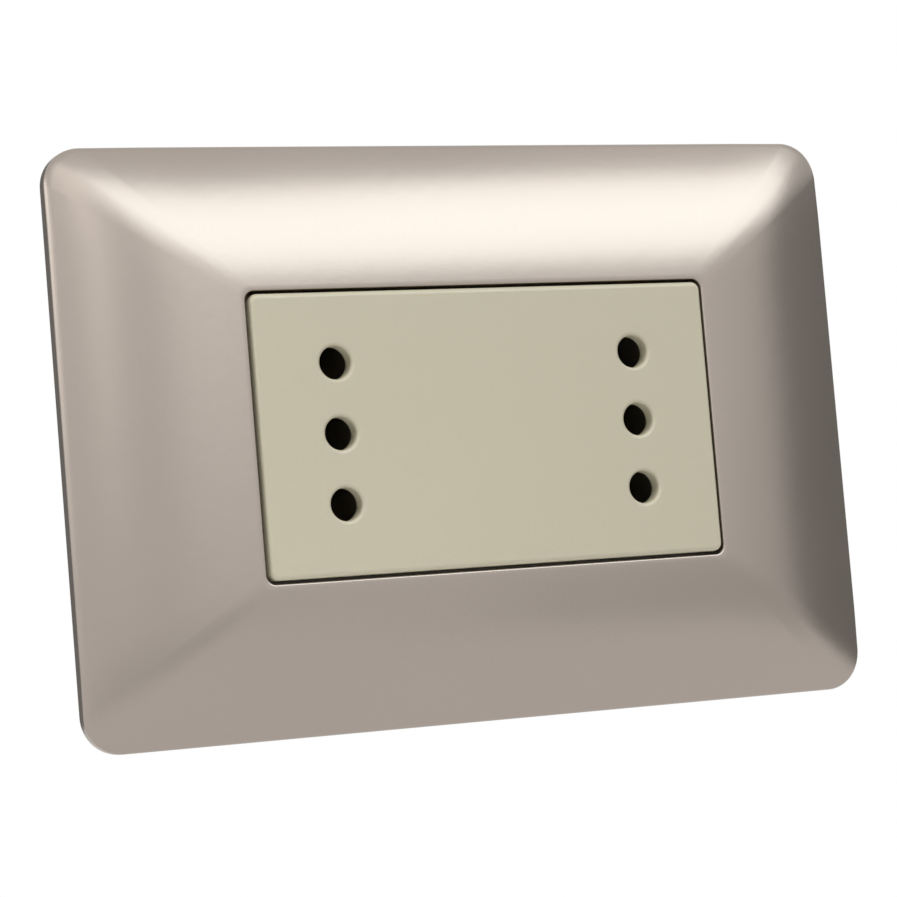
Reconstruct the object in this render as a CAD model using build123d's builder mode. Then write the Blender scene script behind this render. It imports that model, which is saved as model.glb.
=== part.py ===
"""Double wall socket: two three-pin outlets in one insert, behind a pillow-shaped cover plate.

X is to the right, Z is up and Y goes into the wall. The origin is the centre of the plate on the wall.
Heights are measured from the wall's surface towards the room, so a negative height is inside the wall box.
"""

import os
from math import radians, sqrt, tan

from build123d import *

os.makedirs("parts", exist_ok=True)

# Outlets: two columns of three pin holes in line, for round pins
socket_spacing = 45.0
pin_pitch = 9.5
pin_hole_radius = 2.25
pin_mouth = 0.35
pin_rows = {"line": pin_pitch, "earth": 0.0, "neutral": -pin_pitch}
socket_columns = {"left": -socket_spacing / 2, "right": socket_spacing / 2}

# Socket front: the face that shows in the plate, with a skirt that goes back through the support frame
face_height = 8.7
face_proud = 0.5
face_wall = 2.2
face_end_margin = 11.55
face_side_margin = 9.55
face_width = socket_spacing + 2 * face_end_margin
face_depth = 2 * pin_pitch + 2 * face_side_margin
face_corner_radius = 0.9
face_edge_radius = 0.7
skirt_wall = 1.6
skirt_end = -8.0

# Cover plate: a shell of even wall, with a straight rim and a crown that would level out inside the opening
plate_width = 118.0
plate_height = 80.0
plate_corner_radius = 5.2
plate_wall = 1.8
crown_top = face_height - face_proud
rim_height = 2.0
rim_bevel = 0.6
rim_bevel_angle = 30.0
rim_spread = (rim_height - rim_bevel) * tan(radians(rim_bevel_angle))
rim_inner_drop = 0.8
hollow_corner_radius = 12.0
face_gap = 0.45
opening_width = face_width + 2 * face_gap
opening_depth = face_depth + 2 * face_gap
opening_corner_radius = face_corner_radius + face_gap
opening_edge = 0.45
opening_edge_angle = 45.0
crown_inset = 2.0
level_width = opening_width - 2 * crown_inset
level_depth = opening_depth - 2 * crown_inset
crown_ridge_radius = 10.0
crown_overrun = 1.0

# Support frame: a flat deck on the wall with a window for the insert
frame_end_margin = 6.0
frame_side_margin = 9.0
frame_width = plate_width - 2 * frame_end_margin
frame_depth = plate_height - 2 * frame_side_margin
frame_corner_radius = 4.0
frame_deck = 2.2
frame_lip_height = 1.2
frame_lip_wall = 1.2
border_gap = 1.6
border_wall = 0.9
border_height = 1.0
rib_spacing = 68.0
window_clearance = 0.3
window_width = face_width + 2 * window_clearance
window_depth = face_depth + 2 * window_clearance

# Hold of the insert in the frame: a flange before the deck and catches with ramps behind it
catch_spacing = 40.0
catch_width = 7.0
catch_reach = 0.9
catch_length = 3.2
catch_play = 0.1
flange_height = 1.2
flange_reach = 0.9

# Collar round the plate's opening, and the plate's four clips in the frame
collar_wall = 1.4
collar_clearance = 0.6
collar_end = frame_deck + flange_height + collar_clearance
clip_spacing = 50.0
clip_offset = 4.5
clip_width = 6.0
clip_wall = 1.4
clip_reach = 0.7
clip_clearance = 0.2
clip_ledge = 1.1
clip_end = 0.2

# Wall screws: captive screws with a waisted neck in the frame's slots
wall_screw_margin = 7.7
wall_screw_spacing = face_width + 2 * wall_screw_margin
wall_screw_head_radius = 3.4
wall_screw_head_height = 1.8
wall_screw_cross = 4.4
wall_screw_neck_radius = 1.5
wall_screw_radius = 1.75
wall_screw_length = 22.0
slot_clearance = 0.35
slot_width = 2 * (wall_screw_radius + slot_clearance)
slot_travel = 2.4
spare_slot_offset = 16.0
spare_slot_width = 3.6
spare_slot_travel = 4.0

# Snap tongues at the two ends of the housing: base to front, and rear cover to base
tongue_wall = 1.4
tongue_width = 8.0
tongue_reach = 0.8
tongue_land = 0.6
tongue_length = 6.5
tongue_strap = 3.0
tongue_play = 0.1
tongue_window = 3.0

# Socket base: contact chambers inside the skirt, terminal pockets behind it
fit_clearance = 0.2
partition_wall = 1.1
chamber_size = pin_pitch - partition_wall
base_end = -24.0
base_inset = 0.25
base_width = face_width - 2 * base_inset
base_depth = face_depth - 2 * base_inset
base_corner_radius = 1.2
base_front = face_height - face_wall - fit_clearance
spigot_width = socket_spacing + chamber_size + 2 * partition_wall
spigot_depth = face_depth - 2 * skirt_wall - 2 * fit_clearance
middle_recess_floor = -10.0
core_floor = -15.5
core_width = 15.0
core_depth = 29.0

# Contact bars: a flat strip with a pair of spring arms for each outlet, and a steel clip round each pair
strip_front = -12.4
strip_thickness = 0.8
strip_width = 5.8
strip_overhang = 3.4
strip_rear = strip_front - strip_thickness
arm_wall = 0.6
arm_width = 4.4
arm_length = 9.0
arm_lean = 3.0
arm_grip = 1.95
arm_grip_length = 2.4
arm_mouth = 2.35
arm_mouth_length = 1.2
spring_wall = 0.4
spring_gap = 0.05
spring_length = 1.8

# Terminals: a brass cage behind each bar, with a wire hole from the rear and a slotted screw from the side
block_size = 8.0
block_chamfer = 0.5
block_offset = 8.5
block_rear_gap = 0.2
block_places = {"line": -block_offset, "earth": block_offset, "neutral": -block_offset}
block_screw_side = {"line": 1, "earth": 1, "neutral": -1}
wire_hole_size = 4.2
wire_hole_floor = 2.0
terminal_screw_height = -19.5
terminal_screw_radius = 1.75
terminal_screw_proud = 1.6
terminal_well_width = 5.2
thread_gap = 0.05
slot_cut_width = 0.9
slot_cut_depth = 0.9

# Rear cover
rear_wall = 3.0
rear_end = base_end - rear_wall
wire_entry_radius = 2.2
wire_funnel = 0.35


def level(height):
    """The plane parallel to the wall at a height, with its normal towards the room."""
    return Plane.XZ.offset(height)


def arc_radius(run, fall):
    """Radius of an arc that is level at its top and falls by an amount over a run."""
    return (run**2 + fall**2) / (2 * fall)


def arc_fall(radius, run):
    """How far an arc that is level at its top has fallen after a run."""
    return radius - sqrt(radius**2 - run**2)


def crown_block(width, depth, rim, top):
    """A block with a crown: level in the middle, and arcs on all four sides that run on past the rim."""
    across = arc_radius((depth - level_depth) / 2, top - rim)
    along = arc_radius((width - level_width) / 2, top - rim)
    far_z = depth / 2 + crown_overrun
    far_x = width / 2 + crown_overrun
    low_across = top - arc_fall(across, far_z - level_depth / 2)
    low_along = top - arc_fall(along, far_x - level_width / 2)
    with BuildPart() as block:
        with BuildSketch(Plane.YZ):
            with BuildLine():
                lower = RadiusArc((-low_across, -far_z), (-top, -level_depth / 2), across)
                upper = RadiusArc((-top, level_depth / 2), (-low_across, far_z), across)
                Line(lower @ 1, upper @ 0)
                Polyline(upper @ 1, (0, far_z), (0, -far_z), lower @ 0)
            make_face()
        extrude(amount=far_x, both=True)
        with BuildSketch(Plane.XY):
            with BuildLine():
                left = RadiusArc((-far_x, -low_along), (-level_width / 2, -top), -along)
                right = RadiusArc((level_width / 2, -top), (far_x, -low_along), -along)
                Line(left @ 1, right @ 0)
                Polyline(right @ 1, (far_x, 0), (-far_x, 0), left @ 0)
            make_face()
        extrude(amount=far_z, both=True, mode=Mode.INTERSECT)
    return block.part


def is_ridge(edge):
    """Whether an edge is one of the four between the sides of the crown, which lean along all three axes."""
    reach = edge.bounding_box().size
    return min(reach.X, reach.Z) > plate_corner_radius and reach.Y > (crown_top - rim_height) / 2


def tongue(side, root, outer):
    """A snap tongue that rises from its root. The tooth is on its outer face, with the ramp at the tip."""
    inner = outer - tongue_wall
    tip = outer + tongue_reach
    end = root + tongue_length
    catch = root + tongue_strap + tongue_play
    with BuildPart() as made:
        with BuildSketch(Plane.XY):
            with BuildLine():
                Polyline(
                    (side * inner, -(root - tongue_wall)),
                    (side * inner, -end),
                    (side * outer, -end),
                    (side * tip, -(catch + tongue_land)),
                    (side * tip, -catch),
                    (side * outer, -catch),
                    (side * outer, -(root - tongue_wall)),
                    close=True,
                )
            make_face()
        extrude(amount=tongue_width / 2, both=True)
    return made.part


def save(part, name):
    part.label = name
    export_step(part, f"parts/{name}.step")


# Cover plate: the hollow has the same crown, one wall further in
hollow_width = plate_width - 2 * plate_wall
hollow_depth = plate_height - 2 * plate_wall
hollow_top = crown_top - plate_wall
hollow_block = crown_block(hollow_width, hollow_depth, rim_height - rim_inner_drop, hollow_top)
with BuildPart() as hollow:
    add(hollow_block)
    with BuildSketch(level(0)):
        RectangleRounded(hollow_width, hollow_depth, hollow_corner_radius)
    extrude(amount=hollow_top, mode=Mode.INTERSECT)

clip_z = opening_depth / 2 + clip_offset
clip_root = hollow_top
plate_block = crown_block(plate_width, plate_height, rim_height, crown_top)

with BuildPart() as cover_plate:
    add(plate_block)
    with BuildSketch(level(0)):
        RectangleRounded(opening_width, opening_depth, opening_corner_radius)
    extrude(amount=crown_top, mode=Mode.SUBTRACT)

    # The four ridges between the sides of the crown are rounded
    fillet(cover_plate.edges().filter_by(is_ridge), crown_ridge_radius)
    with BuildSketch(level(0)):
        RectangleRounded(plate_width, plate_height, plate_corner_radius)
    extrude(amount=crown_top, mode=Mode.INTERSECT)

    # The edges of the rim and of the opening are broken
    spread_width = plate_width + 2 * rim_spread
    spread_height = plate_height + 2 * rim_spread
    with BuildSketch(level(0)):
        RectangleRounded(spread_width, spread_height, plate_corner_radius + rim_spread)
    extrude(amount=crown_top, taper=rim_bevel_angle, mode=Mode.INTERSECT)
    with BuildSketch(level(crown_top - opening_edge)):
        RectangleRounded(opening_width, opening_depth, opening_corner_radius)
    extrude(amount=opening_edge, taper=-opening_edge_angle, mode=Mode.SUBTRACT)
    add(hollow.part, mode=Mode.SUBTRACT)

    # Collar that stiffens the opening
    with BuildSketch(level(collar_end)):
        Rectangle(opening_width + 2 * collar_wall, opening_depth + 2 * collar_wall)
        RectangleRounded(opening_width, opening_depth, opening_corner_radius, mode=Mode.SUBTRACT)
    extrude(amount=crown_top - plate_wall / 2 - collar_end)

    # Clips: a tongue with a tooth on its outer side
    for side in (-1, 1):
        inner_z = side * (clip_z - clip_wall / 2)
        outer_z = side * (clip_z + clip_wall / 2)
        tooth_z = side * (clip_z + clip_wall / 2 + clip_reach)
        tooth_top = clip_ledge - clip_clearance
        for column in (-clip_spacing / 2, clip_spacing / 2):
            with BuildSketch(Plane.YZ.offset(column)):
                with BuildLine():
                    Polyline(
                        (-clip_root, inner_z),
                        (-clip_end, inner_z),
                        (-clip_end, outer_z),
                        (-tooth_top, tooth_z),
                        (-tooth_top, outer_z),
                        (-clip_root, outer_z),
                        close=True,
                    )
                make_face()
            extrude(amount=clip_width / 2, both=True)
save(cover_plate.part, "cover_plate")

# Support frame
with BuildPart() as support_frame:
    with BuildSketch(level(0)):
        RectangleRounded(frame_width, frame_depth, frame_corner_radius)
    extrude(amount=frame_deck)
    lip_z = frame_depth / 2 - frame_lip_wall / 2
    with BuildSketch(level(frame_deck)):
        with Locations((0, -lip_z), (0, lip_z)):
            Rectangle(frame_width - 2 * frame_corner_radius, frame_lip_wall)
    extrude(amount=frame_lip_height)

    # A raised border round the window, and ribs from it to the lips
    border_width = window_width + 2 * border_gap + 2 * border_wall
    border_depth = window_depth + 2 * border_gap + 2 * border_wall
    with BuildSketch(level(frame_deck)):
        Rectangle(border_width, border_depth)
        Rectangle(border_width - 2 * border_wall, border_depth - 2 * border_wall, mode=Mode.SUBTRACT)
        rib_length = lip_z - border_depth / 2
        with GridLocations(rib_spacing, border_depth + rib_length, 2, 2):
            Rectangle(frame_lip_wall, rib_length)
    extrude(amount=border_height)
    with BuildSketch(level(0)):
        Rectangle(window_width, window_depth)
        with GridLocations(wall_screw_spacing, 0, 2, 1):
            SlotCenterToCenter(slot_travel, slot_width)
        with GridLocations(wall_screw_spacing, 2 * spare_slot_offset, 2, 2):
            SlotCenterToCenter(spare_slot_travel, spare_slot_width, rotation=90)
        with GridLocations(clip_spacing, 2 * clip_z, 2, 2):
            Rectangle(clip_width + 2 * clip_clearance, clip_wall + 2 * clip_clearance)
    extrude(amount=frame_deck, mode=Mode.SUBTRACT)
    undercut_z = clip_z + (clip_wall + clip_reach) / 2 + clip_clearance
    with BuildSketch(level(0)):
        with GridLocations(clip_spacing, 2 * undercut_z, 2, 2):
            Rectangle(clip_width + 2 * clip_clearance, clip_reach + clip_wall)
    extrude(amount=clip_ledge, mode=Mode.SUBTRACT)
save(support_frame.part, "support_frame")

# Wall screws
for side, x in (("left", -wall_screw_spacing / 2), ("right", wall_screw_spacing / 2)):
    with BuildPart() as wall_screw:
        with BuildSketch(level(frame_deck)):
            with Locations((x, 0)):
                Circle(wall_screw_head_radius)
        extrude(amount=wall_screw_head_height)
        with BuildSketch(level(0)):
            with Locations((x, 0)):
                Circle(wall_screw_neck_radius)
        extrude(amount=frame_deck)
        with BuildSketch(level(-wall_screw_length)):
            with Locations((x, 0)):
                Circle(wall_screw_radius)
        extrude(amount=wall_screw_length)
        with BuildSketch(level(frame_deck + wall_screw_head_height)):
            with Locations((x, 0)):
                Rectangle(wall_screw_cross, slot_cut_width)
                Rectangle(slot_cut_width, wall_screw_cross)
        extrude(amount=-slot_cut_depth, mode=Mode.SUBTRACT)
    save(wall_screw.part, f"wall_screw_{side}")

# Socket front
with BuildPart() as socket_front:
    with BuildSketch(level(face_height)):
        RectangleRounded(face_width, face_depth, face_corner_radius)
    extrude(amount=skirt_end - face_height)
    fillet(socket_front.faces().sort_by(Axis.Y)[0].edges(), face_edge_radius)
    with BuildSketch(level(skirt_end)):
        Rectangle(face_width - 2 * skirt_wall, face_depth - 2 * skirt_wall)
    extrude(amount=face_height - face_wall - skirt_end, mode=Mode.SUBTRACT)

    # Windows in the end walls for the tongues of the base
    window_middle = skirt_end + tongue_strap + tongue_window / 2
    with BuildSketch(Plane.YZ):
        with Locations((-window_middle, 0)):
            Rectangle(tongue_window, tongue_width + 2 * fit_clearance)
    extrude(amount=face_width, both=True, mode=Mode.SUBTRACT)

    # Pin holes with a broken edge at the mouth
    with BuildSketch(level(face_height)):
        with GridLocations(socket_spacing, pin_pitch, 2, 3):
            Circle(pin_hole_radius)
    extrude(amount=-face_wall, mode=Mode.SUBTRACT)
    arcs = socket_front.faces().sort_by(Axis.Y)[0].edges().filter_by(GeomType.CIRCLE)
    chamfer(arcs.filter_by(lambda edge: edge.radius > pin_hole_radius / 2), pin_mouth)

    # A flange that stops on the frame's deck, and catches with ramps behind it
    flange_width = face_width + 2 * flange_reach
    flange_depth = face_depth + 2 * flange_reach
    with BuildSketch(level(frame_deck)):
        Rectangle(flange_width, flange_depth)
        Rectangle(face_width - skirt_wall, face_depth - skirt_wall, mode=Mode.SUBTRACT)
    extrude(amount=flange_height)
    for side in (-1, 1):
        wall_z = side * (face_depth / 2 - skirt_wall / 2)
        catch_z = side * (face_depth / 2 + catch_reach)
        for x in (-catch_spacing / 2, catch_spacing / 2):
            with BuildSketch(Plane.YZ.offset(x)):
                with BuildLine():
                    Polyline(
                        (catch_play, wall_z),
                        (catch_play, catch_z),
                        (catch_play + catch_length, side * face_depth / 2),
                        (catch_play + catch_length, wall_z),
                        close=True,
                    )
                make_face()
            extrude(amount=catch_width / 2, both=True)
save(socket_front.part, "socket_front")

# Socket base
skirt_inside = face_width / 2 - skirt_wall
base_tongues = [tongue(side, skirt_end, skirt_inside - fit_clearance) for side in (-1, 1)]
with BuildPart() as socket_base:
    with BuildSketch(level(skirt_end)):
        RectangleRounded(base_width, base_depth, base_corner_radius)
    extrude(amount=base_end - skirt_end)
    with BuildSketch(level(skirt_end)):
        Rectangle(spigot_width, spigot_depth)
    extrude(amount=base_front - skirt_end)

    # Contact chambers, and the open middle between the two outlets
    with BuildSketch(level(base_front)):
        with GridLocations(socket_spacing, pin_pitch, 2, 3):
            Rectangle(chamber_size, chamber_size)
    extrude(amount=strip_rear - base_front, mode=Mode.SUBTRACT)
    middle_width = socket_spacing - chamber_size - 2 * partition_wall
    with BuildSketch(level(base_front)):
        Rectangle(middle_width, spigot_depth - 2 * skirt_wall)
    extrude(amount=middle_recess_floor - base_front, mode=Mode.SUBTRACT)

    # Channels for the three bars, and pockets from the rear for the terminal blocks
    channel_length = socket_spacing + 2 * strip_overhang + 2 * fit_clearance
    with BuildSketch(level(strip_rear)):
        with GridLocations(0, pin_pitch, 1, 3):
            Rectangle(channel_length, strip_width + 2 * fit_clearance)
    extrude(amount=middle_recess_floor - strip_rear, mode=Mode.SUBTRACT)
    pocket_size = block_size + 2 * fit_clearance
    with BuildSketch(level(base_end)):
        for row, z in pin_rows.items():
            with Locations((block_places[row], z)):
                Rectangle(pocket_size, pocket_size)
    extrude(amount=strip_rear - base_end, mode=Mode.SUBTRACT)
    with BuildSketch(level(base_end)):
        with GridLocations(socket_spacing, 0, 2, 1):
            Rectangle(core_width, core_depth)
    extrude(amount=core_floor - base_end, mode=Mode.SUBTRACT)

    # Screwdriver channels to the terminals, open at the rear
    with BuildSketch(level(base_end)):
        for row, z in pin_rows.items():
            side_z = block_screw_side[row] * base_depth / 2
            with Locations((block_places[row], (z + side_z) / 2)):
                Rectangle(terminal_well_width, abs(side_z - z))
    extrude(amount=terminal_screw_height + terminal_well_width / 2 - base_end, mode=Mode.SUBTRACT)

    # Windows in the end walls for the tongues of the rear cover, and the tongues for the front
    window_middle = base_end + tongue_strap + tongue_window / 2
    for side in (-1, 1):
        with BuildSketch(Plane.YZ.offset(side * socket_spacing / 2)):
            with Locations((-window_middle, 0)):
                Rectangle(tongue_window, tongue_width + 2 * fit_clearance)
        extrude(amount=side * base_width / 2, mode=Mode.SUBTRACT)
    add(base_tongues)
save(socket_base.part, "socket_base")

# Contact bars and their spring clips
arm_end = strip_front + arm_length
grip_front = arm_end - arm_mouth_length
grip_rear = grip_front - arm_grip_length
arm_root = strip_width / 2 - arm_wall
arm_path = [
    (strip_front - strip_thickness / 2, arm_root),
    (grip_rear - arm_lean, arm_root),
    (grip_rear, arm_grip),
    (grip_front, arm_grip),
    (arm_end, arm_mouth),
]
for row, z in pin_rows.items():
    with BuildPart() as bar:
        with BuildSketch(level(strip_rear)):
            with Locations((0, z)):
                Rectangle(socket_spacing + 2 * strip_overhang, strip_width)
        extrude(amount=strip_thickness)
        for x in socket_columns.values():
            with BuildSketch(Plane.YZ.offset(x)):
                for side in (-1, 1):
                    inner = [(-height, z + side * reach) for height, reach in arm_path]
                    outer = [(-height, z + side * (reach + arm_wall)) for height, reach in reversed(arm_path)]
                    with BuildLine():
                        Polyline(*inner, *outer, close=True)
                    make_face()
            extrude(amount=arm_width / 2, both=True)
    save(bar.part, f"{row}_bar")
    for column, x in socket_columns.items():
        with BuildPart() as spring:
            inner_half = arm_grip + arm_wall + spring_gap
            web_inner = arm_width / 2 + spring_gap
            web_outer = web_inner + spring_wall
            arm_back = -arm_width / 2
            with BuildSketch(level((grip_front + grip_rear) / 2)):
                with Locations((x + (arm_back + web_outer) / 2, z)):
                    Rectangle(web_outer - arm_back, 2 * (inner_half + spring_wall))
                with Locations((x + (arm_back + web_inner) / 2, z)):
                    Rectangle(web_inner - arm_back, 2 * inner_half, mode=Mode.SUBTRACT)
            extrude(amount=spring_length / 2, both=True)
        save(spring.part, f"{column}_{row}_spring")

# Terminal cages and their slotted screws
block_rear = base_end + block_rear_gap
for row, z in pin_rows.items():
    x = block_places[row]
    side = block_screw_side[row]
    screw_plane = Plane((x, -terminal_screw_height, z), x_dir=(1, 0, 0), z_dir=(0, 0, side))
    with BuildPart() as block:
        with BuildSketch(level(block_rear)):
            with Locations((x, z)):
                Rectangle(block_size, block_size)
        extrude(amount=strip_rear - block_rear)
        chamfer(block.edges().filter_by(Axis.Y), block_chamfer)
        with BuildSketch(level(block_rear)):
            with Locations((x, z)):
                Rectangle(wire_hole_size, wire_hole_size)
        extrude(amount=strip_rear - block_rear - wire_hole_floor, mode=Mode.SUBTRACT)
        with BuildSketch(screw_plane):
            Circle(terminal_screw_radius + thread_gap)
        extrude(amount=block_size / 2, mode=Mode.SUBTRACT)
    save(block.part, f"{row}_terminal")
    screw_end = block_size / 2 + terminal_screw_proud
    with BuildPart() as terminal_screw:
        with BuildSketch(screw_plane.offset(wire_hole_size / 2)):
            Circle(terminal_screw_radius)
        extrude(amount=screw_end - wire_hole_size / 2)
        with BuildSketch(screw_plane.offset(screw_end)):
            Rectangle(2 * block_size, slot_cut_width)
        extrude(amount=-slot_cut_depth, mode=Mode.SUBTRACT)
    save(terminal_screw.part, f"{row}_terminal_screw")

# Rear cover
core_outside = socket_spacing / 2 + core_width / 2
cover_tongues = [tongue(side, base_end, core_outside - fit_clearance) for side in (-1, 1)]
with BuildPart() as rear_cover:
    with BuildSketch(level(base_end)):
        RectangleRounded(base_width, base_depth, base_corner_radius)
    extrude(amount=-rear_wall)
    with BuildSketch(level(rear_end)):
        for row, z in pin_rows.items():
            with Locations((block_places[row], z)):
                Circle(wire_entry_radius)
    extrude(amount=rear_wall, mode=Mode.SUBTRACT)
    arcs = rear_cover.faces().sort_by(Axis.Y)[-1].edges().filter_by(GeomType.CIRCLE)
    chamfer(arcs.filter_by(lambda edge: edge.radius > base_corner_radius), wire_funnel)
    add(cover_tongues)
save(rear_cover.part, "rear_cover")
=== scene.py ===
import math

import bmesh
import bpy
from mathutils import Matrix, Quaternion, Vector


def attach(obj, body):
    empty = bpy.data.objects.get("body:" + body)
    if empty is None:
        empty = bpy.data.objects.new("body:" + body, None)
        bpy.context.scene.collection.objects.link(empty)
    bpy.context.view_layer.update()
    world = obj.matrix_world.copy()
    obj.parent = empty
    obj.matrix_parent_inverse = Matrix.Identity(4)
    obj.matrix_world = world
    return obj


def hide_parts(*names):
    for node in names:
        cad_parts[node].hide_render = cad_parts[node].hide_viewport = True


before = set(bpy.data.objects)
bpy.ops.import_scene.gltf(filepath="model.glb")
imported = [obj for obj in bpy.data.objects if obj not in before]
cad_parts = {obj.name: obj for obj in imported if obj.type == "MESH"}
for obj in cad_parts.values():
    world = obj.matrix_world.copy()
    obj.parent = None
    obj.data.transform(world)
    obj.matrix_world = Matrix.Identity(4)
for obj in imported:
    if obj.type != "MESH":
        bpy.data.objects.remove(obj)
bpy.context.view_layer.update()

# Cover plate: a shell moulded in one piece of plastic and sprayed with a champagne metallic paint.
# Its crown falls in an arc from the opening to a straight rim, and four clips behind its long sides
# snap into the support frame. Sizes are in millimetres, and slack is the room that tests on places leave.
MM = 0.001
slack = 0.01
plate_width = 118.0
plate_height = 80.0
plate_corner_radius = 5.2
plate_wall = 1.8
rim_height = 2.0
rim_edge_radius = 0.4
crown_top = 8.2
crown_inset = 2.0
crown_cuts = 27
hip_start = 0.064
hip_growth = 0.34
opening_width = 69.0
opening_depth = 39.0
opening_corner_radius = 1.35
opening_edge_radius = 0.3
corner_segments = 16
edge_segments = 4
side_cuts = 11
sharp_turn = math.radians(45)
smooth_turn = math.radians(40)
facing_out = (math.pi / 2, 0, 0)


def only(piece):
    """Makes a piece the one that is selected."""
    bpy.ops.object.select_all(action="DESELECT")
    piece.select_set(True)
    bpy.context.view_layer.objects.active = piece


def edit(piece):
    """Goes into edit mode on one piece alone."""
    only(piece)
    bpy.ops.object.mode_set(mode="EDIT")


def pick(piece, test):
    """Selects the points of a piece in edit mode by a test on their place, in millimetres."""
    shape = bmesh.from_edit_mesh(piece.data)
    for point in shape.verts:
        point.select_set(False)
    for point in shape.verts:
        if test(point.co / MM):
            point.select_set(True)
    shape.select_flush_mode()
    bmesh.update_edit_mesh(piece.data)


def pick_edges(piece, test):
    """Selects the edges of a piece in edit mode by a test on each edge."""
    bpy.ops.mesh.select_all(action="DESELECT")
    shape = bmesh.from_edit_mesh(piece.data)
    for edge in shape.edges:
        if test(edge):
            edge.select_set(True)
    bmesh.update_edit_mesh(piece.data)


def join(*pieces):
    """Joins pieces into the first of them."""
    bpy.ops.object.select_all(action="DESELECT")
    for piece in pieces:
        piece.select_set(True)
    bpy.context.view_layer.objects.active = pieces[0]
    bpy.ops.object.join()
    return pieces[0]


def rounded_loop(width, depth, corner_radius, height):
    """A ring of edges parallel to the wall: a rectangle with round corners, at a height off the wall."""
    bpy.ops.object.select_all(action="DESELECT")
    bpy.ops.mesh.primitive_plane_add(size=MM, location=(0, -height * MM, 0), rotation=facing_out)
    ring = bpy.context.active_object
    ring.scale = (width, depth, 1)
    bpy.ops.object.transform_apply(location=True, rotation=True, scale=True)
    edit(ring)
    bpy.ops.mesh.select_all(action="SELECT")
    bpy.ops.mesh.bevel(offset=corner_radius * MM, segments=corner_segments, affect="VERTICES")
    pick_edges(ring, lambda edge: edge.calc_length() > 2 * corner_radius * MM)
    bpy.ops.mesh.subdivide(number_cuts=side_cuts)
    bpy.ops.mesh.select_all(action="SELECT")
    bpy.ops.mesh.delete(type="ONLY_FACE")
    bpy.ops.object.mode_set(mode="OBJECT")
    return ring


def crown_height(share):
    """Height of the crown at a share of the way from the opening's edge to the rim."""
    band = (plate_height - opening_depth) / 2
    run = band + crown_inset
    fall = crown_top - rim_height
    radius = (run**2 + fall**2) / (2 * fall)
    return crown_top - (radius - math.sqrt(radius**2 - (crown_inset + band * share) ** 2))


def crown_share(place):
    """How far a place is on the way from the opening's edge to the rim. The hips get softer on that way."""
    across = (abs(place.x) - opening_width / 2) / (plate_width / 2 - opening_width / 2)
    upright = (abs(place.z) - opening_depth / 2) / (plate_height / 2 - opening_depth / 2)
    far = max(across, upright, 0.0)
    soft = hip_start + hip_growth * far
    shared = max(1 - abs(across - upright) / soft, 0.0)
    return far + shared**2 * soft / 4


def near_opening(place, reach):
    """Whether a place is over the opening or no further from its edge than a reach."""
    return abs(place.x) < opening_width / 2 + reach and abs(place.z) < opening_depth / 2 + reach


def outer_boundary(edge):
    return edge.is_boundary and not near_opening(edge.verts[0].co / MM, slack)


opening_height = crown_height(0.0)
inner_loop = rounded_loop(opening_width, opening_depth, opening_corner_radius, opening_height)
outer_loop = rounded_loop(plate_width, plate_height, plate_corner_radius, rim_height)
plate = join(inner_loop, outer_loop)
plate.name = "plate_shell"
edit(plate)
bpy.ops.mesh.select_all(action="SELECT")
bpy.ops.mesh.bridge_edge_loops(number_cuts=crown_cuts, interpolation="LINEAR")
shape = bmesh.from_edit_mesh(plate.data)
for point in shape.verts:
    point.co.y = -crown_height(crown_share(point.co / MM)) * MM
bmesh.update_edit_mesh(plate.data)
pick_edges(plate, outer_boundary)
bpy.ops.mesh.extrude_region_move(TRANSFORM_OT_translate={"value": (0, rim_height * MM, 0)})
bpy.ops.transform.resize(value=(1, 0, 1), center_override=(0, 0, 0))
bpy.ops.mesh.select_all(action="SELECT")
bpy.ops.mesh.normals_make_consistent(inside=False)
pick_edges(plate, lambda edge: edge.is_manifold and edge.calc_face_angle() > sharp_turn)
bpy.ops.mesh.bevel(offset=rim_edge_radius * MM, segments=edge_segments, affect="EDGES")
bpy.ops.mesh.select_all(action="SELECT")
bpy.ops.mesh.normals_make_consistent(inside=False)
bpy.ops.object.mode_set(mode="OBJECT")
wall = plate.modifiers.new("wall", "SOLIDIFY")
wall.thickness = plate_wall * MM
wall.offset = -1
wall.use_even_offset = True
bpy.ops.object.modifier_apply(modifier=wall.name)

# The opening's edge is rounded, and a collar behind it stiffens the opening.
collar_reach = 1.9
collar_end = 4.0
land_height = opening_height - plate_wall
land_slack = 0.2


def opening_edge(place):
    return near_opening(place, slack) and -place.y > opening_height - plate_wall / 2


def under_land(place):
    return near_opening(place, collar_reach) and abs(-place.y - land_height) < land_slack


edit(plate)
pick(plate, opening_edge)
bpy.ops.mesh.bevel(offset=opening_edge_radius * MM, segments=edge_segments, affect="EDGES")
pick(plate, under_land)
collar_depth = land_height - collar_end
bpy.ops.mesh.extrude_region_move(TRANSFORM_OT_translate={"value": (0, collar_depth * MM, 0)})
bpy.ops.object.mode_set(mode="OBJECT")

# The clips stand behind the crown, two on each long side.
clip_x = 25.0
clip_z = 24.0
clip_width = 6.0
clip_wall = 1.4
clip_reach = 0.7
clip_root = 6.4
clip_end = 0.2
tooth_top = 0.9
quarters = [(column, side) for column in (-1, 1) for side in (-1, 1)]


def block(width, depth, low, high, x=0.0, z=0.0):
    """A box between two heights off the wall, with its middle over a place on the wall."""
    bpy.ops.object.select_all(action="DESELECT")
    bpy.ops.mesh.primitive_cube_add(size=MM, location=(x * MM, -(low + high) / 2 * MM, z * MM))
    made = bpy.context.active_object
    made.scale = (width, high - low, depth)
    bpy.ops.object.transform_apply(location=True, rotation=True, scale=True)
    return made


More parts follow.
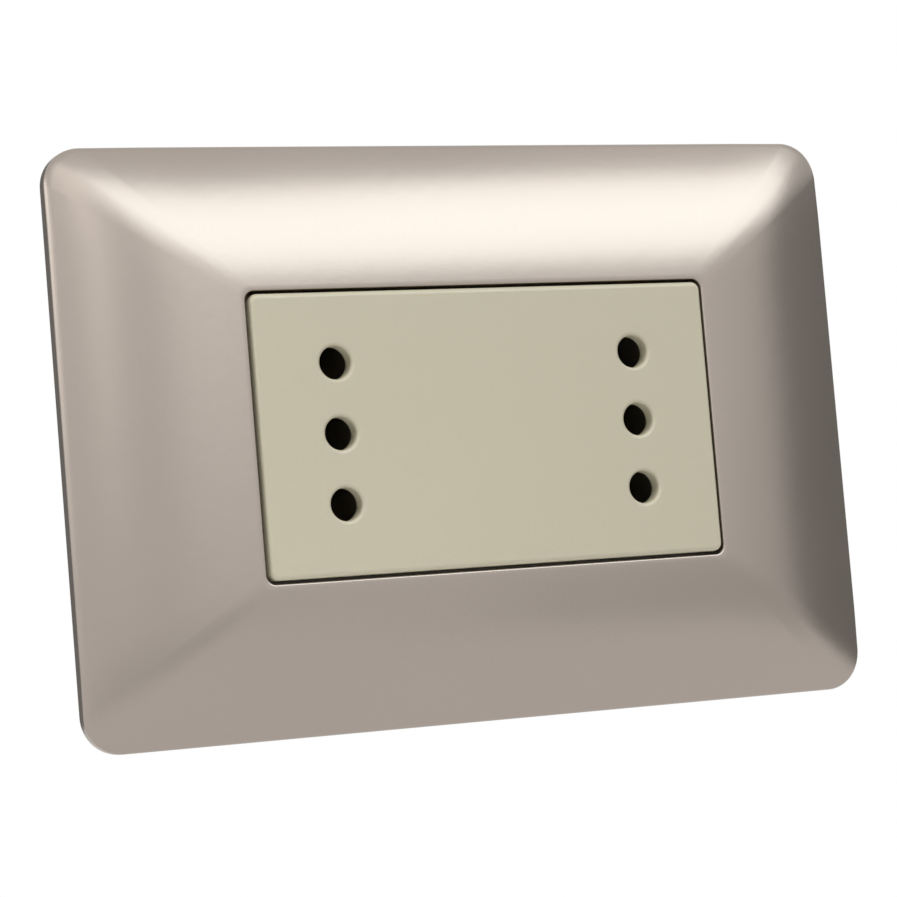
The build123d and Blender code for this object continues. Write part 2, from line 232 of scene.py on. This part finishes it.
def clip(column, side):
    """A tongue behind the plate with a tooth on its outer face and a ramp below the tooth."""
    tongue = block(clip_width, clip_wall, clip_end, clip_root, column * clip_x, side * clip_z)
    edit(tongue)
    bpy.ops.mesh.select_all(action="SELECT")
    bpy.ops.mesh.bisect(plane_co=(0, -tooth_top * MM, 0), plane_no=(0, 1, 0))
    outer = clip_z + clip_wall / 2
    pick(tongue, lambda place: side * place.z > outer - slack and -place.y < tooth_top + slack)
    bpy.ops.mesh.extrude_region_move(TRANSFORM_OT_translate={"value": (0, 0, side * clip_reach * MM)})
    pick(tongue, lambda place: side * place.z > outer + slack and -place.y < clip_end + slack)
    bpy.ops.transform.translate(value=(0, 0, -side * clip_reach * MM))
    bpy.ops.mesh.select_all(action="SELECT")
    bpy.ops.mesh.remove_doubles(threshold=slack * MM)
    bpy.ops.mesh.normals_make_consistent(inside=False)
    bpy.ops.object.mode_set(mode="OBJECT")
    return tongue


plate = join(plate, *[clip(column, side) for column, side in quarters])
bpy.ops.object.shade_smooth_by_angle(angle=smooth_turn)

# The paint: aluminium flake in a warm tint, a little uneven from the spraying, with a faint orange peel.
# Depths are in metres, and waves are counted to the metre.
paint_tint = (0.372, 0.324, 0.285)
paint_spread = 0.06
paint_rough = 0.235
paint_rough_spread = 0.05
flake_waves = 5200.0
flake_share = 0.7
cloud_waves = 38.0
cloud_share = 0.3
peel_waves = 420.0
peel_share = 0.7
peel_flake_share = 0.3
peel_depth = 0.000012


class Wire:
    """A socket of a shader's nodes. Arithmetic on it adds Math nodes, and add() adds any other node."""

    def __init__(self, tree, socket):
        self.tree = tree
        self.socket = socket

    def add(self, kind, settings, sockets, output=0):
        node = self.tree.nodes.new(kind)
        for name, value in settings.items():
            setattr(node, name, value)
        for name, value in sockets.items():
            if isinstance(value, Wire):
                self.tree.links.new(value.socket, node.inputs[name])
            else:
                node.inputs[name].default_value = value
        return Wire(self.tree, node.outputs[output])

    def math(self, operation, first, second):
        return self.add("ShaderNodeMath", {"operation": operation}, {0: first, 1: second})

    def feed(self, socket):
        self.tree.links.new(self.socket, socket)

    def __add__(self, other):
        return self.math("ADD", self, other)

    __radd__ = __add__

    def __mul__(self, other):
        return self.math("MULTIPLY", self, other)

    def noise(self, scale, detail):
        """A noise of so many waves to the metre, about 0.5."""
        return self.add("ShaderNodeTexNoise", {}, {"Vector": self, "Scale": scale, "Detail": detail})

    def tones(self, share, colour, spread):
        """A colour that goes from darker to lighter by a spread, by a share."""
        dark = [value * (1 - spread) for value in colour]
        light = [value * (1 + spread) for value in colour]
        mixed = {0: share, 6: (*dark, 1), 7: (*light, 1)}
        return self.add("ShaderNodeMix", {"data_type": "RGBA"}, mixed, 2)

    def bump(self, height, depth):
        """A normal from a height between 0 and 1, for a depth in metres."""
        return self.add("ShaderNodeBump", {}, {"Strength": 1.0, "Distance": depth, "Height": height})


def new_finish(name):
    """A material with its shader and the place on the piece, in metres."""
    material = bpy.data.materials.new(name)
    material.use_nodes = True
    tree = material.node_tree
    place = Wire(tree, tree.nodes.new("ShaderNodeTexCoord").outputs["Object"])
    return material, tree.nodes["Principled BSDF"], place


def coat(piece, finish):
    """Gives a piece one finish all over."""
    piece.data.materials.clear()
    piece.data.materials.append(finish)


paint, paint_shader, place = new_finish("champagne_paint")
flake = place.noise(flake_waves, detail=1.0)
cloud = place.noise(cloud_waves, detail=2.0)
paint_tone = flake * flake_share + cloud * cloud_share
place.tones(paint_tone, paint_tint, paint_spread).feed(paint_shader.inputs["Base Color"])
(paint_rough + cloud * paint_rough_spread).feed(paint_shader.inputs["Roughness"])
peel = place.noise(peel_waves, detail=1.0)
paint_relief = peel * peel_share + flake * peel_flake_share
place.bump(paint_relief, peel_depth).feed(paint_shader.inputs["Normal"])
paint_shader.inputs["Metallic"].default_value = 1.0
coat(plate, paint)
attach(plate, "root")
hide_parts("cover_plate")

# Socket front: the cream face with its six pin holes and the skirt behind it, moulded in one piece of
# fine matt plastic. It snaps into the support frame from the front.
face_width = 68.1
face_depth = 38.1
face_height = 8.7
face_wall = 2.2
face_corner_radius = 1.1
face_corner_segments = 6
face_edge_radius = 0.68
face_edge_segments = 8
end_sharpness = 1.6
skirt_wall = 1.6
skirt_end = -8.0
wallward = 0.9
level = 0.999


def pick_faces(piece, test):
    """Selects the faces of a piece in edit mode by a test on each face."""
    bpy.ops.mesh.select_all(action="DESELECT")
    shape = bmesh.from_edit_mesh(piece.data)
    for face in shape.faces:
        if test(face):
            face.select_set(True)
    bmesh.update_edit_mesh(piece.data)


def faces_wall(face):
    return face.normal.y > wallward


def on_front(edge, height):
    """Whether both ends of an edge are at a height off the wall, that of the piece's front."""
    return all(-point.co.y > (height - slack) * MM for point in edge.verts)


def outer_corner(edge):
    first, second = [point.co / MM for point in edge.verts]
    along = abs(first.y - second.y) > face_height
    return along and abs(first.x) > face_width / 2 - slack and abs(first.z) > face_depth / 2 - slack


insert = block(face_width, face_depth, skirt_end, face_height)
insert.name = "insert"
edit(insert)
bpy.ops.mesh.select_mode(type="FACE")
pick_faces(insert, faces_wall)
bpy.ops.mesh.inset(thickness=skirt_wall * MM, depth=0)
hollow_depth = face_height - face_wall - skirt_end
bpy.ops.mesh.extrude_region_move(TRANSFORM_OT_translate={"value": (0, -hollow_depth * MM, 0)})
bpy.ops.mesh.select_mode(type="EDGE")
pick_edges(insert, outer_corner)
bpy.ops.mesh.bevel(offset=face_corner_radius * MM, segments=face_corner_segments, affect="EDGES")

# The edge of the face is rounded while the insert is stretched, so the round is narrower at the two ends.
bpy.ops.mesh.select_all(action="SELECT")
bpy.ops.transform.resize(value=(end_sharpness, 1, 1), center_override=(0, 0, 0))
pick_edges(insert, lambda edge: on_front(edge, face_height))
bpy.ops.mesh.bevel(offset=face_edge_radius * MM, segments=face_edge_segments, affect="EDGES")
bpy.ops.mesh.select_all(action="SELECT")
bpy.ops.transform.resize(value=(1 / end_sharpness, 1, 1), center_override=(0, 0, 0))

# A flange all round stops on the frame's deck.
flange_low = 2.2
flange_high = 3.4
flange_reach = 0.9
flange_skin = 0.5


def on_flange(face):
    middle = face.calc_center_median() / MM
    across = abs(middle.x) > face_width / 2 - flange_skin
    upright = abs(middle.z) > face_depth / 2 - flange_skin
    return (across or upright) and flange_low < -middle.y < flange_high


for height in (flange_low, flange_high):
    bpy.ops.mesh.select_all(action="SELECT")
    bpy.ops.mesh.bisect(plane_co=(0, -height * MM, 0), plane_no=(0, 1, 0))
bpy.ops.mesh.select_mode(type="FACE")
pick_faces(insert, on_flange)
bpy.ops.mesh.extrude_region_shrink_fatten(TRANSFORM_OT_shrink_fatten={"value": flange_reach * MM})
bpy.ops.object.mode_set(mode="OBJECT")

# The pin holes, and a window in each end of the skirt for the tongue of the base, are cut out. The mouths
# of the holes are rounded, and a narrow border keeps the flat of the face apart from the rounds.
outlet_x = 22.5
pin_pitch = 9.5
pin_places = [(x, z) for x in (-outlet_x, outlet_x) for z in (-pin_pitch, 0.0, pin_pitch)]
pin_hole_radius = 2.25
pin_hole_sides = 64
pin_hole_spare = face_wall / 2
pin_lip_radius = 0.5
pin_lip_segments = 5
face_border = 0.06
window_low = -5.0
window_high = -2.0
window_width = 8.4


def rod(radius, low, high, sides, x=0.0, z=0.0):
    """A cylinder between two heights off the wall, over a place on the wall."""
    bpy.ops.object.select_all(action="DESELECT")
    middle = (x * MM, -(low + high) / 2 * MM, z * MM)
    bpy.ops.mesh.primitive_cylinder_add(vertices=sides, radius=radius * MM, depth=(high - low) * MM,
                                        location=middle, rotation=facing_out)
    bpy.ops.object.transform_apply(location=True, rotation=True, scale=True)
    return bpy.context.active_object


def cut(piece, cutter):
    """Takes the cutter out of a piece."""
    gap = piece.modifiers.new("gap", "BOOLEAN")
    gap.object = cutter
    gap.operation = "DIFFERENCE"
    gap.solver = "EXACT"
    only(piece)
    bpy.ops.object.modifier_apply(modifier=gap.name)
    bpy.data.objects.remove(cutter)


def at_mouth(edge):
    middle = (edge.verts[0].co + edge.verts[1].co) / 2 / MM
    near = min(math.hypot(middle.x - x, middle.z - z) for x, z in pin_places) < pin_hole_radius + slack
    return near and on_front(edge, face_height)


def flat_of_face(face):
    return -face.normal.y > level and -face.calc_center_median().y > (face_height - slack) * MM


hole_low = face_height - face_wall - pin_hole_spare
hole_high = face_height + pin_hole_spare
windows = block(2 * face_width, window_width, window_low, window_high)
holes = [rod(pin_hole_radius, hole_low, hole_high, pin_hole_sides, x, z) for x, z in pin_places]
cut(insert, join(windows, *holes))
edit(insert)
bpy.ops.mesh.select_mode(type="EDGE")
pick_edges(insert, at_mouth)
bpy.ops.mesh.bevel(offset=pin_lip_radius * MM, segments=pin_lip_segments, affect="EDGES")
bpy.ops.mesh.select_mode(type="FACE")
pick_faces(insert, flat_of_face)
bpy.ops.mesh.inset(thickness=face_border * MM, depth=0)
bpy.ops.object.mode_set(mode="OBJECT")

# Four catches with ramps hold the insert behind the frame.
catch_x = 20.0
catch_z = face_depth / 2 - skirt_wall / 2
catch_width = 7.0
catch_reach = 0.9
catch_top = -0.1
catch_length = 3.2


def catch(column, side):
    """A wedge on the long side of the skirt, steep towards the frame and sloping behind."""
    catch_low = catch_top - catch_length
    ramp = block(catch_width, skirt_wall, catch_low, catch_top, column * catch_x, side * catch_z)
    edit(ramp)
    outer = face_depth / 2 - slack
    pick(ramp, lambda place: side * place.z > outer and place.y < -catch_top + slack)
    bpy.ops.transform.translate(value=(0, 0, side * catch_reach * MM))
    bpy.ops.object.mode_set(mode="OBJECT")
    return ramp


insert = join(insert, *[catch(column, side) for column, side in quarters])
bpy.ops.object.shade_smooth_by_angle(angle=smooth_turn)

# The plastic: cream, with a fine matt grain and a faint cloud from the flow in the mould.
cream = (0.510, 0.468, 0.346)
cream_spread = 0.025
cream_rough = 0.32
cream_rough_spread = 0.08
cream_gloss = 0.75
cream_grain_waves = 2600.0
cream_grain_share = 0.5
cream_grain_depth = 0.00002
cream_flow_waves = 30.0
cream_flow_share = 0.5
cream_plastic, cream_shader, place = new_finish("cream_plastic")
grain = place.noise(cream_grain_waves, detail=2.0)
flow = place.noise(cream_flow_waves, detail=1.0)
cream_tone = grain * cream_grain_share + flow * cream_flow_share
place.tones(cream_tone, cream, cream_spread).feed(cream_shader.inputs["Base Color"])
(cream_rough + grain * cream_rough_spread).feed(cream_shader.inputs["Roughness"])
place.bump(grain, cream_grain_depth).feed(cream_shader.inputs["Normal"])
cream_shader.inputs["Specular IOR Level"].default_value = cream_gloss
coat(insert, cream_plastic)
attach(insert, "root")
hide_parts("socket_front")

# Support frame: moulded in grey plastic, with a deck, a border, ribs and slots. It is screwed to the wall
# box, and the insert and the plate snap into it.
moulded_rough_spread = 0.12
moulded_grain_depth = 0.00003


def moulded(name, colour, spread, rough, waves):
    """A plain moulded plastic with a fine grain."""
    plastic, shader, place = new_finish(name)
    grain = place.noise(waves, detail=2.0)
    place.tones(grain, colour, spread).feed(shader.inputs["Base Color"])
    (rough + grain * moulded_rough_spread).feed(shader.inputs["Roughness"])
    place.bump(grain, moulded_grain_depth).feed(shader.inputs["Normal"])
    return plastic


def dress(finish, *names):
    """Gives some of the CAD nodes a finish."""
    for name in names:
        coat(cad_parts[name], finish)


frame_plastic = moulded("frame_plastic", (0.30, 0.30, 0.29), spread=0.06, rough=0.45, waves=1500.0)
dress(frame_plastic, "support_frame")

# Socket base and rear cover: the housing of the contacts, moulded in brown-grey plastic. Tongues of the
# base snap into the insert's windows, and tongues of the cover snap into those of the base.
base_plastic = moulded("base_plastic", (0.22, 0.19, 0.145), spread=0.10, rough=0.40, waves=1800.0)
dress(base_plastic, "socket_base", "rear_cover")

# Contact bars and terminal cages: stamped brass. Each bar lies in a channel of the base and grips one pin
# of both outlets, and the cage behind it takes the wire.
line_waves = (60.0, 60.0, 2200.0)
line_share = 0.4
line_depth = 0.000008
line_rough_spread = 0.14
patch_waves = 260.0
patch_share = 0.6
rows = ("line", "earth", "neutral")


def plated(name, colour, spread, rough):
    """Bare or plated metal with faint drawing lines and a patchy tone."""
    metal, shader, place = new_finish(name)
    stretched = place.add("ShaderNodeMapping", {}, {"Vector": place, "Scale": line_waves})
    lines = stretched.noise(1.0, detail=2.0)
    patch = place.noise(patch_waves, detail=2.0)
    tone = lines * line_share + patch * patch_share
    place.tones(tone, colour, spread).feed(shader.inputs["Base Color"])
    (rough + lines * line_rough_spread).feed(shader.inputs["Roughness"])
    place.bump(lines, line_depth).feed(shader.inputs["Normal"])
    shader.inputs["Metallic"].default_value = 1.0
    return metal


brass = plated("contact_brass", (0.72, 0.50, 0.20), spread=0.12, rough=0.26)
dress(brass, *[f"{row}_bar" for row in rows], *[f"{row}_terminal" for row in rows])

# Spring clips: bent from blued steel strip. One sits round each pair of contact arms and presses them
# together.
spring_steel = plated("spring_steel", (0.36, 0.37, 0.39), spread=0.10, rough=0.24)
dress(spring_steel, *[f"{column}_{row}_spring" for column in ("left", "right") for row in rows])

# Terminal screws: zinc plated steel, headless, with a slot. One goes into each terminal cage from the
# side and clamps the wire.
zinc = plated("zinc_plate", (0.46, 0.46, 0.45), spread=0.10, rough=0.26)
dress(zinc, *[f"{row}_terminal_screw" for row in rows])

# Wall screws: zinc plated steel too, with a round head, a cross recess, a plain neck and a rolled thread.
# They hold the support frame to the wall box.
screw_x = 41.75
head_radius = 3.4
head_sides = 48
head_top = 4.0
head_seat = 2.2
head_round = 0.9
head_round_segments = 6
cross_length = 4.4
cross_width = 0.9
cross_depth = 0.9
cross_spare = 1.0
neck_radius = 1.5
screw_end = 22.0
crest_radius = 1.75
root_radius = 1.36
thread_pitch = 0.8
flank_share = 0.38
flat_share = 0.12
thread_steps = 24
thread_spare_turns = 2
thread_weld = 0.005
thread_slack = 0.001
tip_length = 0.9
tip_end_taper = 0.85
tip_taper = 0.9
screw_smooth_turn = math.radians(35)


def screw_head():
    """The head with its cross recess, and the neck behind it."""
    head = rod(head_radius, head_seat, head_top, head_sides)
    edit(head)
    bpy.ops.mesh.select_mode(type="EDGE")
    pick_edges(head, lambda edge: on_front(edge, head_top))
    bpy.ops.mesh.bevel(offset=head_round * MM, segments=head_round_segments, affect="EDGES")
    bpy.ops.mesh.select_mode(type="FACE")
    pick_faces(head, faces_wall)
    bpy.ops.mesh.inset(thickness=(head_radius - neck_radius) * MM, depth=0)
    bpy.ops.mesh.extrude_region_move(TRANSFORM_OT_translate={"value": (0, head_seat * MM, 0)})
    bpy.ops.object.mode_set(mode="OBJECT")
    for width, depth in ((cross_length, cross_width), (cross_width, cross_length)):
        cut(head, block(width, depth, head_top - cross_depth, head_top + cross_spare))
    return head


def screw_thread():
    """The thread: the outline of one turn, screwed along the axis and cut off flat at both ends."""
    bpy.ops.object.select_all(action="DESELECT")
    bpy.ops.mesh.primitive_plane_add(size=MM, location=(0, 0, 0))
    thread = bpy.context.active_object
    edit(thread)
    bpy.ops.mesh.select_mode(type="VERT")
    bpy.ops.mesh.select_all(action="SELECT")
    bpy.ops.mesh.merge(type="CENTER")
    bpy.ops.transform.translate(value=(root_radius * MM, -thread_pitch * MM, 0))
    rise = crest_radius - root_radius
    for out, along in ((rise, flank_share), (0.0, flat_share), (-rise, flank_share), (0.0, flat_share)):
        step = (out * MM, along * thread_pitch * MM, 0)
        bpy.ops.mesh.extrude_vertices_move(TRANSFORM_OT_translate={"value": step})
    bpy.ops.object.mode_set(mode="OBJECT")
    turns = thread.modifiers.new("turns", "SCREW")
    turns.axis = "Y"
    turns.screw_offset = thread_pitch * MM
    turns.iterations = math.ceil(screw_end / thread_pitch) + thread_spare_turns
    turns.steps = thread_steps
    turns.render_steps = thread_steps
    bpy.ops.object.modifier_apply(modifier=turns.name)
    edit(thread)
    bpy.ops.mesh.select_all(action="SELECT")
    bpy.ops.mesh.remove_doubles(threshold=thread_weld * MM)
    bpy.ops.mesh.normals_make_consistent(inside=False)
    for end, first in ((0.0, True), (screw_end, False)):
        bpy.ops.mesh.select_all(action="SELECT")
        bpy.ops.mesh.bisect(plane_co=(0, end * MM, 0), plane_no=(0, 1, 0), use_fill=True,
                            clear_inner=first, clear_outer=not first, threshold=thread_slack * MM)
    for length, taper in ((tip_length / 2, tip_end_taper), (tip_length, tip_taper)):
        pick(thread, lambda place: place.y > screw_end - length)
        bpy.ops.transform.resize(value=(taper, 1, taper), center_override=(0, 0, 0))
    bpy.ops.object.mode_set(mode="OBJECT")
    return thread


for side, name in ((-1, "wall_screw_left"), (1, "wall_screw_right")):
    screw = join(screw_head(), screw_thread())
    edit(screw)
    bpy.ops.mesh.select_all(action="SELECT")
    bpy.ops.transform.translate(value=(side * screw_x * MM, 0, 0))
    bpy.ops.mesh.normals_make_consistent(inside=False)
    bpy.ops.object.mode_set(mode="OBJECT")
    bpy.ops.object.shade_smooth_by_angle(angle=screw_smooth_turn)
    screw.name = name.replace("wall_screw", "frame_screw")
    coat(screw, zinc)
    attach(screw, "root")
    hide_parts(name)

# Studio: a pale floor below the part and a white surround, a wide soft light above the camera on the right
# that only reflections see, and two softer lights that they don't see. Distances are in metres.
white = (1, 1, 1, 1)
floor_drop = 0.15
floor_size = 1.0
floor_colour = (0.86, 0.86, 0.85, 1)
floor_rough = 0.8
floor_glow = 1.04
surround_fill = 0.28
bpy.ops.object.select_all(action="DESELECT")
bpy.ops.mesh.primitive_plane_add(size=floor_size, location=(0, 0, -floor_drop))
floor = bpy.context.active_object
floor.name = "studio_floor"
floor_paint, floor_shader, place = new_finish("floor_paint")
floor_shader.inputs["Base Color"].default_value = floor_colour
floor_shader.inputs["Roughness"].default_value = floor_rough
floor_tree = floor_paint.node_tree
painted = Wire(floor_tree, floor_shader.outputs[0])
mirrored = place.add("ShaderNodeLightPath", {}, {}, "Is Glossy Ray")
glowing = place.add("ShaderNodeEmission", {}, {"Color": white, "Strength": floor_glow})
floor_mix = place.add("ShaderNodeMixShader", {}, {0: mirrored, 1: painted, 2: glowing})
floor_mix.feed(floor_tree.nodes["Material Output"].inputs["Surface"])
floor.data.materials.append(floor_paint)

world = bpy.data.worlds.new("white_surround")
bpy.context.scene.world = world
world.use_nodes = True
world_tree = world.node_tree
dim = world_tree.nodes["Background"]
dim.inputs["Color"].default_value = white
dim.inputs["Strength"].default_value = surround_fill
fill = Wire(world_tree, dim.outputs[0])
bright = fill.add("ShaderNodeBackground", {}, {"Color": white, "Strength": 1.0})
path = world_tree.nodes.new("ShaderNodeLightPath")
seen = Wire(world_tree, path.outputs["Is Camera Ray"])
for kind in ("Is Glossy Ray", "Is Transmission Ray"):
    seen = seen.math("MAXIMUM", seen, Wire(world_tree, path.outputs[kind]))
surround = fill.add("ShaderNodeMixShader", {}, {0: seen, 1: fill, 2: bright})
surround.feed(world_tree.nodes["World Output"].inputs["Surface"])


def softbox(name, direction, distance, width, height, radiance):
    """An area light of an even radiance, facing the part from a direction."""
    place = Vector(direction).normalized() * distance
    bpy.ops.object.light_add(type="AREA", location=place)
    light = bpy.context.active_object
    light.name = name
    light.rotation_mode = "QUATERNION"
    light.rotation_quaternion = (-place).to_track_quat("-Z", "Y")
    light.data.shape = "RECTANGLE"
    light.data.size = width
    light.data.size_y = height
    light.data.energy = radiance * math.pi * width * height
    return light


key = softbox("key_softbox", (0.44, -0.70, 0.565), 1.2, width=1.70, height=0.65, radiance=2.14)
key.data.color = (0.88, 0.96, 1.0)
key.visible_diffuse = False
top_fill = softbox("top_fill", (-0.14, -0.38, 0.91), 1.2, width=1.0, height=0.8, radiance=5.6)
top_fill.visible_glossy = False
near_fill = softbox("near_fill", (-0.40, -0.66, -0.64), 0.22, width=0.08, height=0.08, radiance=7.0)
near_fill.visible_glossy = False
near_fill.visible_camera = False


def card(name, direction, distance, width, height, radiance, turn=0.0):
    """A flat card that shows only in reflections, turned about the line from the part to it."""
    place = Vector(direction).normalized() * distance
    bpy.ops.object.select_all(action="DESELECT")
    bpy.ops.mesh.primitive_plane_add(size=1.0, location=place)
    flat = bpy.context.active_object
    flat.name = name
    flat.rotation_mode = "QUATERNION"
    flat.rotation_quaternion = (-place).to_track_quat("Z", "Y") @ Quaternion((0, 0, 1), math.radians(turn))
    flat.scale = (width, height, 1)
    flat.visible_camera = False
    flat.visible_diffuse = False
    flat.visible_shadow = False
    glow = bpy.data.materials.new(name)
    glow.use_nodes = True
    tree = glow.node_tree
    tree.nodes.remove(tree.nodes["Principled BSDF"])
    lit = tree.nodes.new("ShaderNodeEmission")
    lit.inputs["Color"].default_value = white
    lit.inputs["Strength"].default_value = radiance
    tree.links.new(lit.outputs[0], tree.nodes["Material Output"].inputs["Surface"])
    flat.data.materials.append(glow)


# Flags are greyer than the surround, glows and strips are brighter, and shades dim what is behind them.
card("right_flag", (0.985, -0.0775, -0.156), 0.75, width=0.84, height=0.774, radiance=0.31, turn=10.0)
card("front_flag", (0.625, -0.730, -0.276), 0.33, width=0.15, height=0.12, radiance=0.76)
card("side_flag", (0.766, -0.643, 0.0), 0.80, width=0.22, height=0.26, radiance=0.86)
card("low_glow", (0.09, -0.97, 0.21), 0.75, width=0.34, height=0.20, radiance=1.5)
card("left_strip", (-0.435, -0.90, 0.30), 0.75, width=0.065, height=0.28, radiance=2.6)
card("side_strip", (-0.93, -0.25, 0.30), 0.75, width=0.90, height=0.30, radiance=2.2)
card("rear_left_flag", (-0.42, 0.90, 0.07), 0.75, width=0.7, height=0.9, radiance=0.27)
card("corner_glow", (-0.30, -0.775, 0.557), 0.60, width=0.17, height=0.19, radiance=1.85)
card("end_shade", (0.567, -0.302, 0.766), 0.60, width=0.15, height=0.13, radiance=1.15)
card("corner_shade", (0.828, -0.1835, 0.530), 0.60, width=0.235, height=0.30, radiance=0.78, turn=12.0)
card("hip_shade", (-0.203, -0.957, -0.208), 0.33, width=0.29, height=0.06, radiance=0.75)

# Camera: close, low and to the left, with a long lens, turned a little about its own axis.
camera_place = Vector((-184.85, -390.62, -32.08)) * MM
camera_aim = Vector((-6.72, -8.2, -2.80)) * MM
camera_roll = -4.78
camera_sensor = 36.0
camera_lens = 125.30
camera_shift = (-0.0008, 0.0004)
bpy.ops.object.camera_add(location=camera_place)
camera = bpy.context.active_object
camera.rotation_mode = "QUATERNION"
straight = (camera_aim - camera_place).to_track_quat("-Z", "Y")
camera.rotation_quaternion = straight @ Quaternion((0, 0, 1), math.radians(camera_roll))
camera.data.sensor_width = camera_sensor
camera.data.lens = camera_lens
camera.data.shift_x, camera.data.shift_y = camera_shift
bpy.context.scene.camera = camera
bpy.context.scene.view_settings.view_transform = "Standard"
